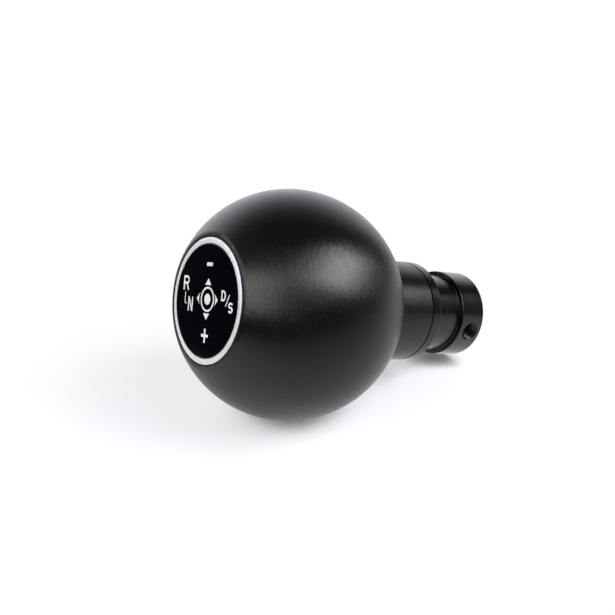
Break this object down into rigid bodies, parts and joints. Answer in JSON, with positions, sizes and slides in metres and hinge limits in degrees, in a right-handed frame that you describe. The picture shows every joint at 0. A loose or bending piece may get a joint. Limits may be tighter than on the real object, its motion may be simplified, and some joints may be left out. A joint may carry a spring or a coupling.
{
  "type": "gear shift knob",
  "caption": "Turned ball gear knob with a silver-rimmed layout badge and a boot-groove adapter that clamps on the lever with radial set screws.",
  "frame": {"origin": "centre of the lever bore's mouth, in the adapter's flat rear face, on which the knob stands", "axes": "+Z along the knob's axis from the lever to the badge; +Y towards the minus mark of the badge, forwards in the car; +X towards the D/S marks, to the right"},
  "size_m": [0.055, 0.055, 0.08],
  "materials": {
    "satin_black": "satin black anodised, fine turning marks round the axis",
    "silver_rim": "fine satin silver",
    "gloss_black": "gloss black with white printed layout",
    "adhesive_foam": "foam tape",
    "turned_black": "semi-gloss black anodised, turned",
    "screw_black": "black oxide"
  },
  "bodies": {
    "knob": {"knob_body": "satin_black", "badge_cup": "silver_rim", "layout_disc": "gloss_black", "adhesive_pad": "adhesive_foam", "adapter_body": "turned_black"},
    "screw_1": {"set_screw_1": "screw_black"},
    "screw_2": {"set_screw_2": "screw_black"},
    "screw_3": {"set_screw_3": "screw_black"}
  },
  "joints": [
    {"name": "screw_1_travel", "type": "slide", "parent": "knob", "child": "screw_1", "axis": [0.9239, -0.3827, 0], "range_m": [-0.0008, 0.0016]},
    {"name": "screw_2_travel", "type": "slide", "parent": "knob", "child": "screw_2", "axis": [-0.1305, 0.9914, 0], "range_m": [-0.0008, 0.0016]},
    {"name": "screw_3_travel", "type": "slide", "parent": "knob", "child": "screw_3", "axis": [-0.7934, -0.6088, 0], "range_m": [-0.0008, 0.0016]}
  ]
}
